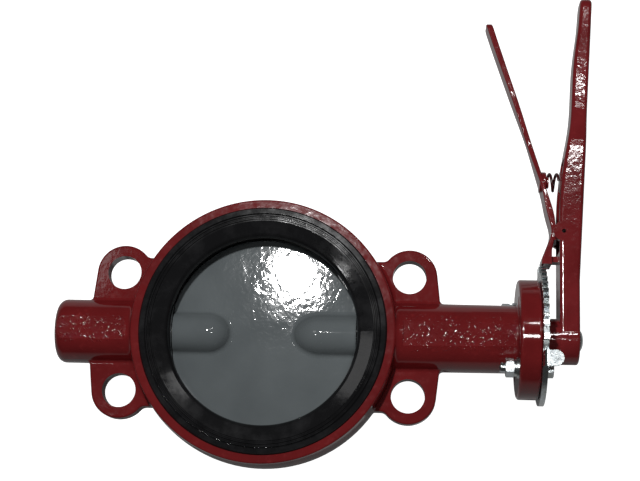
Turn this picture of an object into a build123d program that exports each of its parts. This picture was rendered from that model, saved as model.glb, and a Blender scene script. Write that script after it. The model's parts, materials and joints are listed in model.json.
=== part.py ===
from build123d import *
import os
from math import cos, radians, sin

# Wafer butterfly valve, DN 150, shown closed with its hand lever.
# X runs along the stem towards the lever, Y along the lever when the valve is shut,
# Z along the pipe. The origin is the middle of the bore. Millimetres.

# Body casting
RING_R_MID = 102.6          # outside of the ring at mid length
RING_R_FACE = 100.8         # outside of the ring at each face, after draft
FACE_Z = 28.0               # half of the 56 mm face to face length
RING_EDGE = 1.2             # rounding of the ring's outer edges
LINER_BORE_R = 84.0
LINER_KEY_R = 87.0
LINER_KEY_Z = 5.0
RECESS_R = 94.6             # seat flange recess in each face
RECESS_FLOOR_Z = 22.0
BOLT_X = 110.87             # flange bolt holes: 240 mm bolt circle, 22.5 degrees off X
BOLT_Y = 45.92
BOLT_HOLE_R = 13.0
LUG_R = 21.5
LUG_HALF = 7.0
LUG_EDGE_X = 135.5
LUG_WEB_X = 93.87
LUG_WEB_Y = 58.0
LUG_CORNER_R = 5.0
EAR_ROOT_FILLET = 6.0
LUG_RIM_FILLET = 1.6
LUG_FILLET = 3.0
NECK_R_RING = 26.6
NECK_FILLET = 4.0
NECK_R_FLANGE = 26.0
NECK_FLAT_Z = 24.6           # flats on the front and back of neck and boss
NECK_END = 193.5
TOP_FLANGE_R = 46.0
TOP_FLANGE_X = 210.0
TOP_FLANGE_EDGE = 2.2
FLANGE_FILLET = 0.9
PLATE_BOLT_PCD = 69.85
PLATE_BOLT_HOLE_R = 5.15
BOSS_R = 24.6
BOSS_FLAT_Z = 23.0
FLAT_START_X = 106.6
BOSS_END = -161.0
BOSS_EDGE = 7.0

# Stem, its bearings and seals
STEM_R = 9.5
RUNNING_GAP = 0.05
FIT_GAP = 0.02
STEM_BORE_R = 10.2
BUSH_R = 12.0
UPPER_STEM_START = 31.0
UPPER_STEM_END = 239.0
LOWER_STEM_START = -31.0
LOWER_STEM_END = -144.0
DRIVE_SQUARE = 13.4         # across flats, in the disc
HEAD_SQUARE = 14.0          # across flats, in the lever
SQUARE_GAP = 0.1
SOCKET_STEP = 47.0
RING_GROOVE_R = 8.6
COUNTERBORE_R = 15.0
COUNTERBORE_X = 197.0
PLUG_R = 13.2
BUSH_START = 96.0
RING_X = (199.4, 200.9)      # snap ring on the stem
PLUG_DEPTH = 12.0

# Seat and disc
SEAT_TOP_Z = 30.0
SEAT_LAND_R = (90.0, 93.4)     # flat sealing land
SEAT_CONE_R = (74.6, 84.3)     # cone from the ribs down to the throat
SEAT_CONE_Z = 28.0
SEAT_FLANGE_R = 94.4
THROAT_R = 71.9
THROAT_Z = 24.0
SEAT_MID_R = 74.35
LAND_X = 70.8
LAND_R = 22.5
DISC_R = 74.0
DISC_HALF = 5.0
DISC_EDGE = 1.2
HUB_FILLET = 4.0
DISC_FLAT_X = 70.5
HUB_R = 16.4
HUB_ROOT_X = 44.0
UPPER_NOSE_X = 21.0
LOWER_NOSE_X = 25.7

# Notch plate on the top flange
PLATE_T = 4.0
PLATE_R = 50.5
SECTOR_R = 57.0
SECTOR_FROM = -9.0          # degrees from +Y towards +Z
SECTOR_TO = 97.0
NOTCH_PITCH = 7.5
NOTCH_COUNT = 13
NOTCH_WIDTH = 4.9
NOTCH_FLOOR_R = 52.2
TAB_Y = -20.65
TAB_WIDTH = 11.7
TAB_Z = 54.0
TAB_T = 3.6
TAB_TOP_X = 224.4

# Fasteners
M8_R = 4.0
M8_HEX = 13.0
M8_HEAD = 5.3
M8_NUT = 6.5
PLATE_BOLT_LENGTH = 35.0
WASHER_R = 8.0
FLAT_WASHER_T = 1.6
LOCK_WASHER_T = 2.0
LEVER_WASHER_T = 1.0

# Lever and trigger
LEVER_HALF = 18.0
GRIP_HALF = 12.0
LEVER_TIP_Y = 274.0
GRIP_OUTER_X = 252.2
LEVER_FILLET = 2.6
HUB_OUTER_R = 18.6
COLLAR_R = 16.6
COLLAR_X = 215.6
ARM_INNER_X = 225.2
ARM_OUTER_X = 240.4
POCKET_HALF = 13.5
POCKET_Y = (67.0, 142.0)
NUB_X = 219.95
PIVOT_X = 228.4
PIVOT_Y = 82.4
EAR_R = 8.0
PIN_R = 2.75
PIN_BORE_R = 1.6
TRIGGER_HALF = 12.0
TRIGGER_TOP_Y = 252.2
TRIGGER_TIP_Y = 252.6
TRIGGER_FILLET = 1.1
JAW_X = (211.8, 219.6)
JAW_Y = (57.6, 66.0)
TOOTH_X = (211.8, 213.7)
TOOTH_FLOOR_Y = 53.0
TOOTH_WIDTH = 4.2
SPRING_Y = 124.5
SPRING_WIRE_R = 1.1
SPRING_R = 6.6
SPRING_TURNS = 1.5
TRIGGER_SEAT_X = 216.0
LEVER_SEAT_X = 226.6


def rod(radius, start, end, y=0.0, z=0.0):
    """Cylinder along X between two X positions."""
    return Pos((start + end) / 2, y, z) * Rot(0, 90, 0) * Cylinder(radius, abs(end - start))


def block(x, y, z):
    """Box given as (low, high) pairs."""
    spans = [high - low for low, high in (x, y, z)]
    middle = [(high + low) / 2 for low, high in (x, y, z)]
    return Pos(*middle) * Box(*spans)


def turned_about_x(points):
    """Solid of revolution about the stem axis from (x, radius) points."""
    return revolve(make_face(Polyline(*points, close=True)), Axis.X)


def turned_about_z(points):
    """Solid of revolution about the pipe axis from (radius, z) points."""
    outline = Polyline(*[(radius, 0, z) for radius, z in points], close=True)
    return revolve(make_face(outline), Axis.Z)


def square_bar(across, start, end):
    return block((start, end), (-across / 2, across / 2), (-across / 2, across / 2))


def across_x(sketch, start, end):
    """Extrude a sketch drawn in Y (first axis) and Z (second axis) between two X positions."""
    plane = Plane(origin=(start, 0, 0), x_dir=(0, 1, 0), z_dir=(1, 0, 0))
    return extrude(plane * sketch, end - start)


def hexagon(across, x_start, x_end, y, z):
    outline = Pos(y, z) * RegularPolygon(across / 2, 6, major_radius=False)
    return across_x(outline, x_start, x_end)


def hex_blank(across, x_start, x_end, y, z, both_ends=True):
    """Hexagon whose corners are turned off at its outer end, or at both ends."""
    corner_r = across / 2 / cos(radians(30))
    turned = rod(corner_r, x_start, x_end, y, z)
    rims = turned.edges().filter_by(GeomType.CIRCLE).sort_by(Axis.X)
    turned = chamfer(rims if both_ends else rims[-1:], 0.55, 0.95)
    return turned & hexagon(across, x_start, x_end, y, z)


def washer(outer, inner, start, end, y=0.0, z=0.0):
    through = max(abs(start), abs(end)) + 10
    return rod(outer, start, end, y, z) - rod(inner, -through, through, y, z)


def ring_seal(x):
    """O-ring on the stem."""
    section = (BUSH_R - STEM_R - RUNNING_GAP - FIT_GAP) / 2
    return Pos(x, 0, 0) * Rot(0, 90, 0) * Torus(STEM_R + RUNNING_GAP + section, section)


def polar(radius, degrees_from_y):
    return radius * cos(radians(degrees_from_y)), radius * sin(radians(degrees_from_y))


def flange_hole_centres():
    offset = PLATE_BOLT_PCD / 2 * sin(radians(45))
    return [(y * offset, z * offset) for y in (-1, 1) for z in (-1, 1)]


def plate_bolt_centres():
    """The two of the four top flange holes that carry bolts."""
    return [(y, z) for y, z in flange_hole_centres() if y * z < 0]


def lug_plate(side):
    """Flat plate with the two bolt ears that stands on one side of the ring."""
    ears = Sketch()
    for y in (BOLT_Y, -BOLT_Y):
        ears += Pos(side * BOLT_X, y) * Circle(LUG_R)
        ears += Pos(side * (LUG_EDGE_X - LUG_CORNER_R), y * 0.4) * Circle(LUG_CORNER_R)
    inside_x = LINER_BORE_R - 18
    web = LUG_WEB_X - inside_x
    outline = make_hull(ears.edges()) + Pos(side * (inside_x + web / 2), 0) * Rectangle(web, 2 * LUG_WEB_Y)
    plate = extrude(outline, LUG_HALF, both=True)
    notches = plate.edges().filter_by(Axis.Z).filter_by(
        lambda e: abs(abs(e.center().X) - LUG_WEB_X) < 1.5 and abs(abs(e.center().Y) - LUG_WEB_Y) < 1.5
    )
    plate = fillet(notches, EAR_ROOT_FILLET)
    rims = plate.edges().filter_by(lambda e: abs(abs(e.center().Z) - LUG_HALF) < 0.01)
    outer = rims.filter_by(lambda e: abs(e.center().X) > LUG_WEB_X - EAR_ROOT_FILLET - 2)
    return fillet(outer, LUG_RIM_FILLET)


def seat_cavity():
    """The space that the seat fills in the ring, run out past both faces."""
    past_face = FACE_Z + 5
    half = [
        (LINER_KEY_R, 0), (LINER_KEY_R, LINER_KEY_Z), (LINER_BORE_R, LINER_KEY_Z),
        (LINER_BORE_R, RECESS_FLOOR_Z), (RECESS_R, RECESS_FLOOR_Z), (RECESS_R, past_face), (0, past_face),
    ]
    return turned_about_z(half + [(r, -z) for r, z in reversed(half[1:])])


def ring_blank():
    """Barrel shaped ring, solid near its outside, before the seat cavity is cut."""
    crown = ThreePointArc((RING_R_FACE, 0, -FACE_Z), (RING_R_MID, 0, 0), (RING_R_FACE, 0, FACE_Z))
    inside_r = LINER_BORE_R - 24
    walls = Polyline(
        (RING_R_FACE, 0, -FACE_Z), (inside_r, 0, -FACE_Z), (inside_r, 0, FACE_Z), (RING_R_FACE, 0, FACE_Z)
    )
    ring = revolve(make_face([walls, crown]), Axis.Z)
    rims = ring.edges().filter_by(GeomType.CIRCLE).filter_by(lambda e: abs(e.radius - RING_R_FACE) < 0.1)
    return fillet(rims, RING_EDGE)


def joined(first, second, radius):
    """Union of two solids with a fillet along the seam between them."""
    both_solids = first + second
    return fillet(new_edges(first, second, combined=both_solids), radius)


def body_casting():
    neck = turned_about_x(
        [(70, 0), (70, NECK_R_RING), (NECK_END + 1, NECK_R_FLANGE), (NECK_END + 1, 0)]
    )
    boss = rod(BOSS_R, -70, BOSS_END)
    boss = fillet(boss.edges().filter_by(GeomType.CIRCLE).sort_by(Axis.X)[0], BOSS_EDGE)
    casting = joined(ring_blank(), neck, NECK_FILLET)
    casting = joined(casting, boss, NECK_FILLET)
    lugs = [lug_plate(side) for side in (1, -1)]
    with_lugs = casting + lugs[0] + lugs[1]
    casting = fillet(new_edges(casting, *lugs, combined=with_lugs), LUG_FILLET)
    flange = rod(TOP_FLANGE_R, NECK_END, TOP_FLANGE_X)
    flange = fillet(flange.edges().filter_by(GeomType.CIRCLE), TOP_FLANGE_EDGE)
    casting = joined(casting, flange, FLANGE_FILLET)
    for side in (1, -1):
        neck_side = sorted((side * NECK_FLAT_Z, side * 40))
        casting -= block((FLAT_START_X, NECK_END - FLANGE_FILLET), (-30, 30), neck_side)
        boss_side = sorted((side * BOSS_FLAT_Z, side * 40))
        casting -= block((BOSS_END - 1, -FLAT_START_X), (-30, 30), boss_side)
    casting -= seat_cavity()
    casting -= rod(STEM_BORE_R, -BUSH_START, 220)
    casting -= rod(BUSH_R, BUSH_START, 220)
    casting -= rod(BUSH_R, -BUSH_START, -170)
    casting -= rod(COUNTERBORE_R, COUNTERBORE_X, 220)
    casting -= rod(PLUG_R, BOSS_END + PLUG_DEPTH, -170)
    for x in (BOLT_X, -BOLT_X):
        for y in (BOLT_Y, -BOLT_Y):
            casting -= Pos(x, y, 0) * Cylinder(BOLT_HOLE_R, 60)
    for y, z in flange_hole_centres():
        casting -= rod(PLATE_BOLT_HOLE_R, NECK_END - 8, TOP_FLANGE_X + 1, y, z)
    return casting


def seat_liner():
    """Rubber seat: flanged sleeve, each face with a flat land, two ribs and a cone inside them."""
    gap = 0.05
    valley_z = SEAT_TOP_Z - 0.9
    half = [
        (LINER_KEY_R - gap, 0), (LINER_KEY_R - gap, LINER_KEY_Z - gap),
        (LINER_BORE_R - gap, LINER_KEY_Z - gap), (LINER_BORE_R - gap, RECESS_FLOOR_Z + gap),
        (SEAT_FLANGE_R, RECESS_FLOOR_Z + gap), (SEAT_FLANGE_R, FACE_Z + 0.6),
        (SEAT_LAND_R[1], SEAT_TOP_Z), (SEAT_LAND_R[0], SEAT_TOP_Z),
    ]
    for rib_r in (88.4, 86.0):
        half += [
            (rib_r + 0.9, valley_z), (rib_r + 0.4, SEAT_TOP_Z),
            (rib_r - 0.4, SEAT_TOP_Z), (rib_r - 0.9, valley_z),
        ]
    half += [(SEAT_CONE_R[1], valley_z), (SEAT_CONE_R[1] - 0.3, SEAT_TOP_Z - 0.2)]
    half += [(SEAT_CONE_R[0], SEAT_CONE_Z), (SEAT_CONE_R[0] - 0.9, SEAT_CONE_Z - 0.6)]
    half += [(72.5, 26.0), (THROAT_R, THROAT_Z)]
    upper = Polyline(*[(r, 0, z) for r, z in half[1:]])
    lower = Polyline(*[(r, 0, -z) for r, z in half[1:]])
    key = Line((half[1][0], 0, half[1][1]), (half[1][0], 0, -half[1][1]))
    bore = ThreePointArc((THROAT_R, 0, THROAT_Z), (SEAT_MID_R, 0, 0), (THROAT_R, 0, -THROAT_Z))
    liner = revolve(make_face([upper, lower, key, bore]), Axis.Z)
    for side in (1, -1):
        liner += rod(LAND_R, side * LAND_X, side * (SEAT_MID_R + 5))
    return liner - rod(STEM_R + 2 * RUNNING_GAP, -120, 120)


def disc_hub(side, nose):
    """Stem hub that tapers to a round nose; side is 1 towards the lever, -1 away."""
    reach = HUB_ROOT_X - nose
    profile = Ellipse(reach, HUB_R) & Pos(0, HUB_R / 2) * Rectangle(2 * reach, HUB_R)
    hub = Pos(HUB_ROOT_X, 0, 0) * revolve(profile, Axis.X) + rod(HUB_R, HUB_ROOT_X, DISC_R)
    return hub if side > 0 else Rot(0, 180, 0) * hub


def disc():
    """Spherical rimmed plate with a stem hub on each side."""
    plate = Sphere(DISC_R) & Cylinder(DISC_R + 1, 2 * DISC_HALF)
    plate = fillet(plate.edges().filter_by(GeomType.CIRCLE), DISC_EDGE)
    trim = DISC_FLAT_X
    for side, nose in ((1, UPPER_NOSE_X), (-1, LOWER_NOSE_X)):
        hub = disc_hub(side, nose) & block((-trim, trim), (-80, 80), (-80, 80))
        plate = joined(plate & block((-trim, trim), (-80, 80), (-80, 80)), hub, HUB_FILLET)
    plate -= rod(STEM_R + FIT_GAP, SOCKET_STEP, 80)
    plate -= square_bar(DRIVE_SQUARE + SQUARE_GAP, UPPER_STEM_START - 0.5, SOCKET_STEP + 1)
    return plate - rod(STEM_R + FIT_GAP, LOWER_STEM_START + 0.5, -80)


def upper_stem():
    """Stem with a square end for the disc, a ring groove and a square head for the lever."""
    stem = rod(STEM_R, SOCKET_STEP + 0.2, 206)
    drive = rod(STEM_R, UPPER_STEM_START, SOCKET_STEP + 1)
    stem += drive & square_bar(DRIVE_SQUARE, UPPER_STEM_START, SOCKET_STEP + 1)
    head = rod(STEM_R, 205, UPPER_STEM_END)
    stem += head & square_bar(HEAD_SQUARE, 205, UPPER_STEM_END)
    stem -= washer(STEM_R + 1, RING_GROOVE_R, RING_X[0] - 0.1, RING_X[1] + 0.1)
    return stem - rod(M8_R + RUNNING_GAP, UPPER_STEM_END - 22, UPPER_STEM_END + 1)


def lower_stem():
    stub = rod(STEM_R, LOWER_STEM_START, LOWER_STEM_END)
    return chamfer(stub.edges().filter_by(GeomType.CIRCLE), 1.0)


def bush(start, end):
    return washer(BUSH_R - FIT_GAP, STEM_R + RUNNING_GAP, start, end)


def bottom_plug():
    """Threaded plug with a hexagon socket, flush with the end of the boss."""
    plug = rod(PLUG_R - RUNNING_GAP, BOSS_END, BOSS_END + PLUG_DEPTH - 1.6)
    plug = chamfer(plug.edges().filter_by(GeomType.CIRCLE).sort_by(Axis.X)[0], 1.2)
    return plug - hexagon(12.0, BOSS_END - 1, BOSS_END + 7, 0, 0)


def retaining_ring():
    """Snap ring in the stem's groove, open on one side."""
    ring = washer(STEM_R + 2.6, RING_GROOVE_R + 0.05, *RING_X)
    return ring - block((RING_X[0] - 1, RING_X[1] + 1), (-30, 0), (-2.5, 2.5))


def notch_plate():
    """Plate with thirteen lever notches over a quarter turn and a bent up stop tab."""
    outline = Circle(PLATE_R)
    wedge = [(0, 0)]
    for step in range(9):
        wedge.append(polar(SECTOR_R + 8, SECTOR_FROM + (SECTOR_TO - SECTOR_FROM) * step / 8))
    outline += make_face(Polyline(*wedge, close=True)) & Circle(SECTOR_R)
    for index in range(NOTCH_COUNT):
        slot = Pos(NOTCH_FLOOR_R + 5, 0) * Rectangle(10, NOTCH_WIDTH)
        outline -= Rot(0, 0, NOTCH_PITCH * index) * slot
    tab_root = Pos(TAB_Y, (TAB_Z + TAB_T / 2) / 2 + 20) * Rectangle(TAB_WIDTH, TAB_Z + TAB_T / 2 - 40)
    outline += tab_root
    outline -= Circle(12.0)
    for y, z in flange_hole_centres():
        outline -= Pos(y, z) * Circle(PLATE_BOLT_HOLE_R - 0.65)
    plate = across_x(outline, TOP_FLANGE_X, TOP_FLANGE_X + PLATE_T)
    end_r = TAB_WIDTH / 2
    tab = Pos((TOP_FLANGE_X + TAB_TOP_X - end_r) / 2, TAB_Y) * Rectangle(
        TAB_TOP_X - end_r - TOP_FLANGE_X, TAB_WIDTH
    )
    tab += Pos(TAB_TOP_X - end_r, TAB_Y) * Circle(end_r)
    plate += Pos(0, 0, TAB_Z) * extrude(tab, TAB_T / 2, both=True)
    bend = plate.edges().filter_by(Axis.Y).filter_by(
        lambda e: abs(e.center().Z - TAB_Z - TAB_T / 2) < 0.1 and abs(e.center().X - TOP_FLANGE_X) < 0.1
    )
    return fillet(bend, TAB_T - 0.4)


def plate_bolt(y, z):
    seat = TOP_FLANGE_X + PLATE_T
    head = hex_blank(M8_HEX, seat, seat + M8_HEAD, y, z, both_ends=False)
    shank = rod(M8_R, seat - PLATE_BOLT_LENGTH, seat + 0.5, y, z)
    return head + chamfer(shank.edges().filter_by(GeomType.CIRCLE).sort_by(Axis.X)[0], 0.8)


def plate_nut(y, z):
    top = NECK_END - FLAT_WASHER_T - LOCK_WASHER_T
    return hex_blank(M8_HEX, top - M8_NUT, top, y, z) - rod(M8_R + FIT_GAP, top - 10, top + 2, y, z)


def lock_washer(y, z):
    """Split spring washer under the nut."""
    top = NECK_END - FLAT_WASHER_T
    ring = washer(6.6, M8_R + 0.2, top - LOCK_WASHER_T, top, y, z)
    return ring - block((top - 5, top + 1), (y, y + 10), (z - 0.5, z + 0.5))


def lever_arm():
    """The lever's bar: side outline cut to its front outline, all edges rounded."""
    inner = Spline(
        (ARM_INNER_X, 60), (225.4, 104), (229.1, 141), (233.8, 168), (236.0, 202), (238.0, 228),
        (240.8, 248.5), (243.0, LEVER_TIP_Y), tangents=[(0, 1), (0.1, 1)],
    )
    back = Polyline(
        (243.0, LEVER_TIP_Y), (GRIP_OUTER_X, LEVER_TIP_Y), (ARM_OUTER_X, 44), (ARM_OUTER_X, 0),
        (ARM_INNER_X, 0), (ARM_INNER_X, 60),
    )
    arm = extrude(make_face([inner, back]), LEVER_HALF, both=True)
    wide, corner_y = LEVER_HALF + 0.5, LEVER_TIP_Y - 8
    straight = Line((0, wide), (150, LEVER_HALF))
    flank = Spline((150, LEVER_HALF), (172, 14.0), (192, GRIP_HALF), tangents=[(1, -0.02), (1, 0)])
    grip = Line((192, GRIP_HALF), (corner_y, GRIP_HALF))
    corner = RadiusArc((corner_y, GRIP_HALF), (LEVER_TIP_Y, GRIP_HALF - 8), 8)
    half = [straight, flank, grip, corner]
    ends = [Line((0, wide), (0, -wide)), Line((LEVER_TIP_Y, GRIP_HALF - 8), (LEVER_TIP_Y, 8 - GRIP_HALF))]
    front = make_face(half + [mirror(edge, Plane.XZ) for edge in half] + ends)
    arm &= across_x(front, 100, 300)
    return fillet(arm.edges().filter_by(lambda e: e.position_at(0.5).Y > 1), LEVER_FILLET)


def lever():
    """Cast hand lever: hub, arm with pivot ears, pocket for the trigger, and grip."""
    hub = rod(HUB_OUTER_R, ARM_INNER_X, ARM_OUTER_X)
    collar = rod(COLLAR_R, COLLAR_X, ARM_INNER_X + 1)
    ears = Pos(PIVOT_X, PIVOT_Y, 0) * Cylinder(EAR_R, 2 * LEVER_HALF)
    casting = lever_arm() + fillet(hub.edges().filter_by(GeomType.CIRCLE).sort_by(Axis.X)[-1], 2.0)
    casting += collar
    casting += ears
    casting -= block((200, ARM_OUTER_X - 4.0), POCKET_Y, (-POCKET_HALF, POCKET_HALF))
    casting += block((NUB_X, ARM_INNER_X + 3), (60.0, 64.5), (-6.0, 6.0))
    casting += rod(SPRING_R + 1.6, LEVER_SEAT_X, ARM_OUTER_X - 2, SPRING_Y, 0)
    casting -= square_bar(HEAD_SQUARE + SQUARE_GAP, COLLAR_X - 1, ARM_OUTER_X + 1)
    return casting - Pos(PIVOT_X, PIVOT_Y, 0) * Cylinder(PIN_R + FIT_GAP, 60)


def lever_screw():
    """Domed screw that holds the lever on the stem."""
    head_r = 7.75
    crown = 2.6
    under = ARM_OUTER_X + LEVER_WASHER_T
    shank_end = UPPER_STEM_END - 20
    dome = [polar(1, 90 * step / 8) for step in range(9)]
    outline = [(under + crown * rise, head_r * spread) for rise, spread in dome]
    return turned_about_x(outline + [(under, M8_R), (shank_end, M8_R), (shank_end, 0)])


def trigger_strip():
    """Bent strip with the jaw at its lower end, edges rounded."""
    waist_y = 77.0
    left = Spline(
        (168.1, TRIGGER_TOP_Y), (185.8, 199.0), (200.2, 155.7), (206.4, 136.0), (212.8, 114.0),
        (216.9, 94.7), (219.2, 83.7), (218.0, waist_y), tangents=[(0.31, -1), (-0.35, -1)],
    )
    right = Spline(
        (173.2, TRIGGER_TOP_Y), (190.3, 199.0), (204.4, 155.7), (210.2, 136.0), (216.5, 114.0),
        (220.7, 100.2), (222.6, 88.0), (221.6, waist_y), tangents=[(0.31, -1), (-0.2, -1)],
    )
    top = Line(left @ 0, right @ 0)
    jaw = Polyline(
        left @ 1, (JAW_X[0] + 0.3, JAW_Y[1] - 4), (JAW_X[0], JAW_Y[0]), (JAW_X[1], JAW_Y[0]),
        (JAW_X[1] + 0.1, JAW_Y[1] + 2), right @ 1,
    )
    strip = extrude(make_face([left, right, top, jaw]), TRIGGER_HALF, both=True)
    wide, narrow, grip = TRIGGER_HALF, 5.5, 9.5
    flank = Spline((112, wide), (152, narrow), (196, grip), tangents=[(1, 0), (1, 0)])
    base = Line((50, wide), (112, wide))
    side = Line((196, grip), (TRIGGER_TIP_Y - 5, grip))
    corner = RadiusArc((TRIGGER_TIP_Y - 5, grip), (TRIGGER_TIP_Y, grip - 5), 5)
    outline = [base, flank, side, corner]
    ends = [Line((50, wide), (50, -wide)), Line((TRIGGER_TIP_Y, grip - 5), (TRIGGER_TIP_Y, 5 - grip))]
    front = make_face(outline + [mirror(edge, Plane.XZ) for edge in outline] + ends)
    strip &= across_x(front, 100, 300)
    return fillet(strip.edges().filter_by(lambda e: e.position_at(0.5).Y > waist_y + 1), TRIGGER_FILLET)


def trigger():
    """Squeeze lever: strip with pin boss, spring seat and locking tooth."""
    boss_r = PIN_R + 3.2
    casting = trigger_strip()
    seat = rod(SPRING_R + 1.5, 210.5, TRIGGER_SEAT_X, SPRING_Y, 0)
    casting += fillet(seat.edges().filter_by(GeomType.CIRCLE).sort_by(Axis.X)[-1], 0.8)
    casting += rod(SPRING_R - SPRING_WIRE_R - 0.8, TRIGGER_SEAT_X - 1, TRIGGER_SEAT_X + 2, SPRING_Y, 0)
    casting += Pos(PIVOT_X, PIVOT_Y, 0) * Cylinder(boss_r, 2 * TRIGGER_HALF)
    casting += block((219.6, PIVOT_X), (PIVOT_Y - boss_r, PIVOT_Y + boss_r), (-TRIGGER_HALF, TRIGGER_HALF))
    casting += block(TOOTH_X, (TOOTH_FLOOR_Y, JAW_Y[0] + 1), (-TOOTH_WIDTH / 2, TOOTH_WIDTH / 2))
    return casting - Pos(PIVOT_X, PIVOT_Y, 0) * Cylinder(PIN_R + RUNNING_GAP, 60)


def trigger_pivot_pin():
    """Hollow spring pin through the lever's ears."""
    return Pos(PIVOT_X, PIVOT_Y, 0) * (Cylinder(PIN_R, 2 * LEVER_HALF - 0.6) - Cylinder(PIN_BORE_R, 60))


def trigger_spring():
    """Compression spring between the trigger and the lever."""
    start = TRIGGER_SEAT_X + SPRING_WIRE_R
    length = LEVER_SEAT_X - TRIGGER_SEAT_X - 2 * SPRING_WIRE_R
    coil = Helix(length / SPRING_TURNS, length, SPRING_R)
    section = Plane(coil @ 0, z_dir=coil % 0) * Circle(SPRING_WIRE_R)
    return Pos(start, SPRING_Y, 0) * Rot(0, 90, 0) * sweep(section, path=coil)


def both(maker):
    """One node holding the same fastener at both plate bolt positions."""
    return Compound(children=[maker(y, z) for y, z in plate_bolt_centres()])


nodes = {
    "body_casting": body_casting(),
    "seat_liner": seat_liner(),
    "disc": disc(),
    "upper_stem": upper_stem(),
    "lower_stem": lower_stem(),
    "upper_bushing": bush(156, 192),
    "middle_bushing": bush(BUSH_START, 124),
    "lower_bushing": bush(-BUSH_START, -132),
    "stem_o_rings": Compound(children=[ring_seal(x) for x in (130, 138, 146, -137)]),
    "thrust_washer": washer(COUNTERBORE_R - 0.1, STEM_R + RUNNING_GAP, COUNTERBORE_X, RING_X[0] - 0.3),
    "stem_retaining_ring": retaining_ring(),
    "stem_dust_seal": washer(COUNTERBORE_R - 0.05, STEM_R + RUNNING_GAP, RING_X[1] + 0.4, TOP_FLANGE_X),
    "bottom_plug": bottom_plug(),
    "plug_gasket": washer(PLUG_R - 0.1, 6.0, BOSS_END + PLUG_DEPTH - 1.5, BOSS_END + PLUG_DEPTH),
    "notch_plate": notch_plate(),
    "plate_bolts": both(plate_bolt),
    "plate_flat_washers": both(
        lambda y, z: washer(WASHER_R, M8_R + 0.2, NECK_END - FLAT_WASHER_T, NECK_END, y, z)
    ),
    "plate_lock_washers": both(lock_washer),
    "plate_nuts": both(plate_nut),
    "lever": lever(),
    "lever_washer": washer(8.9, M8_R + 0.2, ARM_OUTER_X, ARM_OUTER_X + LEVER_WASHER_T),
    "lever_screw": lever_screw(),
    "trigger": trigger(),
    "trigger_pivot_pin": trigger_pivot_pin(),
    "trigger_spring": trigger_spring(),
}

os.makedirs("parts", exist_ok=True)
for name, shape in nodes.items():
    export_step(shape, f"parts/{name}.step")
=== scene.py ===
import json
import math

import bpy
from mathutils import Euler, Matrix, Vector


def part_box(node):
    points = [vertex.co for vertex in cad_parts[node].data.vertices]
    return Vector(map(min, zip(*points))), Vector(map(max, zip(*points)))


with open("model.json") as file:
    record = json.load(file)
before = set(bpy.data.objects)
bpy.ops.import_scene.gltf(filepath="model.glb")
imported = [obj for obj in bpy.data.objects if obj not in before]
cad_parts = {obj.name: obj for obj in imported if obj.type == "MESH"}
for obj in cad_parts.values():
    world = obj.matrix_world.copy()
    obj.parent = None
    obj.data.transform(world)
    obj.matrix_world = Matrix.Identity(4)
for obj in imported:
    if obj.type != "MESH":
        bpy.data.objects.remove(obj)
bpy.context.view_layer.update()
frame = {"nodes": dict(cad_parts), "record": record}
nodes = frame["nodes"]

# Lengths are in metres, colours are linear.
SENSOR_MM = 36.0
LENS_MM = 88.73
CAMERA_PLACE = (0.1082, -0.1758, 1.2068)
CAMERA_TURN_DEG = (11.820, 2.893, 1.557)

FLOOR_SIZE = 30
FLOOR_DROP = 0.001
PAPER_GREY = (0.3, 0.3, 0.3, 1)
PAPER_SEEN = 1.1
PAPER_BOUNCE = 0.06
AMBIENT = 0.045

# Each lamp: place, target, width, power, height over width.
LAMPS = {
    "key": ((-0.064, 0.268, 1.207), (0.05, 0.03, 0), 0.060, 12.0, 1.25),
    "lever_key": ((0.350, 0.515, 1.2), (0.23, 0.15, 0), 0.07, 1.3, 1.0),
    "tip_key": ((0.386, 0.74, 1.2), (0.24, 0.26, 0), 0.03, 0.12, 1.0),
    "crest_key": ((0.28, -0.02, 1.2), (0.15, 0, 0), 0.09, 1.0, 0.5),
    "boss_key": ((-0.38, -0.03, 1.2), (-0.12, 0, 0), 0.06, 0.6, 1.0),
    "left_panel": ((-0.49, 0.34, 1.30), (0.07, -0.03, 0), 0.25, 0.35, 1.0),
    "right_panel": ((0.18, 0.40, 1.25), (-0.065, -0.045, 0), 0.12, 0.15, 1.0),
}

# Distances from the valve's middle between which the coarse casting fades in, first value to second:
# along the stem at the inner and outer ends of the flats, across the stem, and up.
BAND_NEAR = (0.104, 0.108)
BAND_FAR = (0.1945, 0.191)
BAND_SIDE = (0.030, 0.027)
BAND_UP = (0.0205, 0.023)
PIT_DEPTH = 0.00035

RED = (0.125, 0.0085, 0.0095)
RED_DEEP = (0.095, 0.006, 0.007)
LEVER_RED = (0.145, 0.012, 0.014)
SPRING_RED = (0.05, 0.006, 0.007)
SPRING_RED_DEEP = (0.03, 0.006, 0.007)
DISC_GREY = (0.078, 0.088, 0.092)
DISC_GREY_PALE = (0.098, 0.110, 0.114)
DISC_SPECK = (0.2, 0.21, 0.21)
SEAT_BLACK = (0.006, 0.006, 0.0065)
SEAL_BLACK = (0.014, 0.013, 0.013)
ZINC = (0.55, 0.59, 0.61)
ZINC_STAIN = (0.38, 0.40, 0.37)
STEEL = (0.56, 0.55, 0.53)
STEEL_STAIN = (0.46, 0.45, 0.42)
BRONZE = (0.56, 0.36, 0.16)
BRONZE_STAIN = (0.36, 0.22, 0.10)


# ---------------------------------------------------------------- camera, floor, lights

def make_camera():
    """Looks down on the valve as it lies on its back, from a little below its middle."""
    data = bpy.data.cameras.new("camera")
    data.sensor_width = SENSOR_MM
    data.lens = LENS_MM
    data.clip_start, data.clip_end = 0.05, 20.0
    camera = bpy.data.objects.new("camera", data)
    camera.location = CAMERA_PLACE
    camera.rotation_euler = Euler([math.radians(a) for a in CAMERA_TURN_DEG], "XYZ")
    bpy.context.scene.collection.objects.link(camera)
    bpy.context.scene.camera = camera


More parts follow.
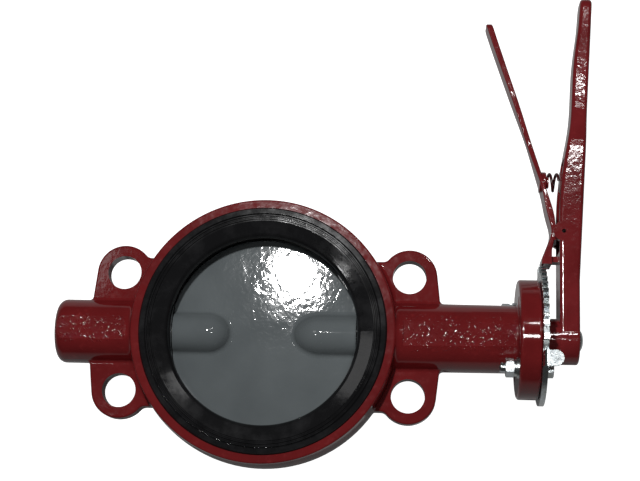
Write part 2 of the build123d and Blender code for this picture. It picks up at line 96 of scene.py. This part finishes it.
def area_light(name, place, target, size, power, stretch):
    """Elliptical lamp aimed at a target; stretch is its height over its width."""
    data = bpy.data.lights.new(name, "AREA")
    data.shape = "ELLIPSE"
    data.size = size
    data.size_y = size * stretch
    data.energy = power
    lamp = bpy.data.objects.new(name, data)
    lamp.location = place
    lamp.rotation_euler = (Vector(target) - Vector(place)).to_track_quat("-Z", "Y").to_euler()
    bpy.context.scene.collection.objects.link(lamp)


def make_world():
    """White to the camera, dim grey as ambient light."""
    world = bpy.data.worlds.new("world")
    bpy.context.scene.world = world
    world.use_nodes = True
    tree = world.node_tree
    background = tree.nodes["Background"]
    background.inputs["Color"].default_value = (1, 1, 1, 1)
    path = tree.nodes.new("ShaderNodeLightPath")
    strength = tree.nodes.new("ShaderNodeMapRange")
    strength.inputs["To Min"].default_value = AMBIENT
    strength.inputs["To Max"].default_value = 1.0
    tree.links.new(path.outputs["Is Camera Ray"], strength.inputs["Value"])
    tree.links.new(strength.outputs["Result"], background.inputs["Strength"])


def make_floor():
    """Sheet of glowing white paper just under the valve."""
    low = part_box("notch_plate")[0]
    bpy.ops.mesh.primitive_plane_add(size=FLOOR_SIZE, location=(0, 0, low.z - FLOOR_DROP))
    floor = bpy.context.object
    floor.name = "floor"
    paper = Graph("floor_paper")
    seen = paper.add("LightPath").outputs["Is Camera Ray"]
    paper.set(Base_Color=PAPER_GREY, Roughness=1.0, Emission_Color=(1, 1, 1, 1),
              Emission_Strength=paper.spread(seen, 0, 1, PAPER_BOUNCE, PAPER_SEEN))
    floor.data.materials.append(paper.material)


# ---------------------------------------------------------------- node helpers

class Graph:
    """A material whose nodes are added by short calls; lengths are in metres."""

    def __init__(self, name):
        self.material = bpy.data.materials.new(name)
        self.material.use_nodes = True
        self.tree = self.material.node_tree
        self.shader = self.tree.nodes["Principled BSDF"]
        self.place = self.add("TexCoord").outputs["Object"]

    def add(self, kind, props=None, **values):
        node = self.tree.nodes.new("ShaderNode" + kind)
        for key, value in (props or {}).items():
            setattr(node, key, value)
        for key, value in values.items():
            self.feed(node.inputs[key.replace("_", " ")], value)
        return node

    def feed(self, socket, value):
        if isinstance(value, bpy.types.NodeSocket):
            self.tree.links.new(value, socket)
        else:
            socket.default_value = value

    def set(self, **values):
        for key, value in values.items():
            self.feed(self.shader.inputs[key.replace("_", " ")], value)

    def math(self, operation, first, second=0.0):
        node = self.add("Math", {"operation": operation})
        self.feed(node.inputs[0], first)
        self.feed(node.inputs[1], second)
        return node.outputs[0]

    def noise(self, size, detail=2.0, rough=0.5, warp=0.0, stretch=(1, 1, 1)):
        """Noise between 0 and 1 whose lumps are about size metres across."""
        mapping = self.add("Mapping", Vector=self.place, Scale=stretch)
        node = self.add("TexNoise", Vector=mapping.outputs[0], Scale=1 / size, Detail=detail,
                        Roughness=rough, Distortion=warp)
        return node.outputs["Fac"]

    def cells(self, size, feature="F1"):
        node = self.add("TexVoronoi", {"feature": feature}, Vector=self.place, Scale=1 / size)
        return node.outputs["Distance"]

    def spread(self, value, low, high, to_low=0.0, to_high=1.0):
        """Stretch the part of value between low and high over to_low to to_high."""
        node = self.add("MapRange", Value=value, From_Min=low, From_Max=high, To_Min=to_low, To_Max=to_high)
        return node.outputs["Result"]

    def mix(self, amount, first, second):
        node = self.add("Mix", {"data_type": "RGBA"})
        self.feed(node.inputs["Factor"], amount)
        self.feed(node.inputs[6], (*first, 1) if isinstance(first, tuple) else first)
        self.feed(node.inputs[7], (*second, 1) if isinstance(second, tuple) else second)
        return node.outputs[2]

    def bump(self, height, depth, below=None):
        """Relief depth metres deep, laid over another relief."""
        node = self.add("Bump", Height=height, Distance=depth, Strength=1.0)
        if below is not None:
            self.feed(node.inputs["Normal"], below)
        return node.outputs[0]


# ---------------------------------------------------------------- materials

def enamel(name, colour, deep, lumps, peel, rough, pits=None):
    """Red enamel over a sand casting: flowed paint, orange peel and dust specks."""
    graph = Graph(name)
    cloud = graph.noise(0.03, 3)
    blotch = graph.noise(0.006, 4, 0.6)
    shade = graph.mix(graph.spread(cloud, 0.3, 0.7), colour, deep)
    thin = tuple(min(1.0, c * 1.5 + 0.004) for c in colour)
    shade = graph.mix(graph.spread(blotch, 0.58, 0.8, 0.0, 0.5), shade, thin)
    relief = graph.bump(graph.noise(0.011, 2, 0.5, 0.4), lumps)
    relief = graph.bump(graph.noise(0.0032, 2, 0.55, 0.3), peel, relief)
    relief = graph.bump(graph.noise(0.0009, 2, 0.6), peel * 0.12, relief)
    if pits is not None:
        grains = graph.spread(graph.noise(0.0024, 2, 0.5, 0.5), 0.56, 0.78)
        relief = graph.bump(graph.math("MULTIPLY", grains, pits(graph)), PIT_DEPTH, relief)
    graph.set(Base_Color=shade, Normal=relief, Specular_IOR_Level=0.5,
              Roughness=graph.spread(blotch, 0.3, 0.8, rough, rough + 0.05))
    return graph.material


def coarse_bands(graph):
    """1 on the flats of the neck and the boss, where the sand of the mould shows, 0 elsewhere."""
    split = graph.add("SeparateXYZ", Vector=graph.place)
    far, off, up = (graph.math("ABSOLUTE", split.outputs[axis]) for axis in "XYZ")
    along = graph.math("MULTIPLY", graph.spread(far, *BAND_NEAR), graph.spread(far, *BAND_FAR))
    across = graph.math("MULTIPLY", graph.spread(off, *BAND_SIDE), graph.spread(up, *BAND_UP))
    return graph.math("MULTIPLY", along, across)


def disc_coating():
    """Grey epoxy, glossy, with long slow waves where it flowed and a few pin holes."""
    graph = Graph("disc_coating_grey")
    cloud = graph.noise(0.045, 3)
    speck = graph.noise(0.0016, 3, 0.7)
    shade = graph.mix(graph.spread(cloud, 0.3, 0.7), DISC_GREY, DISC_GREY_PALE)
    shade = graph.mix(graph.spread(speck, 0.68, 0.78, 0.0, 0.6), shade, DISC_SPECK)
    relief = graph.bump(graph.noise(0.012, 2, 0.5, 0.8), 0.00009)
    relief = graph.bump(graph.noise(0.0036, 2, 0.5, 0.6), 0.000035, relief)
    pins = graph.spread(graph.cells(0.02), 0.0, 0.03)
    relief = graph.bump(pins, 0.0001, relief)
    graph.set(Base_Color=shade, Normal=relief,
              Roughness=graph.spread(graph.noise(0.02, 4), 0.3, 0.7, 0.03, 0.045))
    return graph.material


def moulded_rubber(name, colour, rough):
    """Black rubber with faint rings from the mould's turning and a dusty bloom."""
    graph = Graph(name)
    split = graph.add("SeparateXYZ", Vector=graph.place)
    across = graph.math("POWER", split.outputs["X"], 2.0)
    along = graph.math("POWER", split.outputs["Y"], 2.0)
    radius = graph.math("SQRT", graph.math("ADD", across, along))
    ring_place = graph.add("CombineXYZ", X=radius, Y=split.outputs["Z"])
    rings = graph.add("TexNoise", Vector=ring_place.outputs[0], Scale=1400.0, Detail=2.0)
    bloom = graph.noise(0.018, 5, 0.65)
    dusty = tuple(c * 2.2 + 0.004 for c in colour)
    shade = graph.mix(graph.spread(bloom, 0.45, 0.75, 0.0, 0.7), colour, dusty)
    relief = graph.bump(graph.noise(0.014, 2), 0.00006)
    relief = graph.bump(rings.outputs["Fac"], 0.000006, relief)
    relief = graph.bump(graph.noise(0.0007, 3), 0.000002, relief)
    graph.set(Base_Color=shade, Normal=relief, Specular_IOR_Level=0.25,
              Roughness=graph.spread(bloom, 0.3, 0.7, rough, rough + 0.04))
    return graph.material


def metal(name, colour, stain, rough, scratch, turned=False):
    """Bare or plated metal with patches of stain and scratches, or turning marks along X."""
    graph = Graph(name)
    stretch = (1, 0.04, 0.04) if turned else (0.25, 1, 0.12)
    marks = graph.noise(0.0005, 3, 0.7, 0.0, stretch)
    patch = graph.noise(0.007, 4, 0.65, 0.5)
    shade = graph.mix(graph.spread(patch, 0.42, 0.72), colour, stain)
    relief = graph.bump(marks, scratch)
    relief = graph.bump(graph.noise(0.004, 2), scratch * 4, relief)
    scuffs = graph.spread(marks, 0.3, 0.7, -0.06, 0.06)
    wear = graph.math("ADD", scuffs, graph.spread(patch, 0.3, 0.7, rough, rough + 0.16))
    graph.set(Base_Color=shade, Metallic=1.0, Roughness=wear, Normal=relief)
    return graph.material


# ---------------------------------------------------------------- the scene

bpy.context.scene.view_settings.view_transform = "Standard"
make_camera()
make_world()
make_floor()
for lamp_name, lamp_values in LAMPS.items():
    area_light(lamp_name, *lamp_values)

finishes = {
    "body_paint": enamel("body_enamel", RED, RED_DEEP, 0.00006, 0.00003, 0.05, coarse_bands),
    "lever_paint": enamel("lever_enamel", LEVER_RED, RED_DEEP, 0.00018, 0.00008, 0.07),
    "seat_rubber": moulded_rubber("seat_rubber_black", SEAT_BLACK, 0.05),
    "disc_coating": disc_coating(),
    "zinc_plate": metal("zinc_bright", ZINC, ZINC_STAIN, 0.15, 0.00001),
    "stainless": metal("stainless_ground", STEEL, STEEL_STAIN, 0.22, 0.000012, turned=True),
    "bearing_bronze": metal("bronze_sintered", BRONZE, BRONZE_STAIN, 0.34, 0.00002, turned=True),
    "seal_rubber": moulded_rubber("seal_rubber_black", SEAL_BLACK, 0.12),
    "spring_steel": enamel("spring_enamel", SPRING_RED, SPRING_RED_DEEP, 0.0001, 0.00008, 0.3),
}
slot_of = {part["node"]: part["material_slot"] for part in frame["record"]["subparts"]}
for name, node in nodes.items():
    node.data.materials.clear()
    node.data.materials.append(finishes[slot_of[name]])
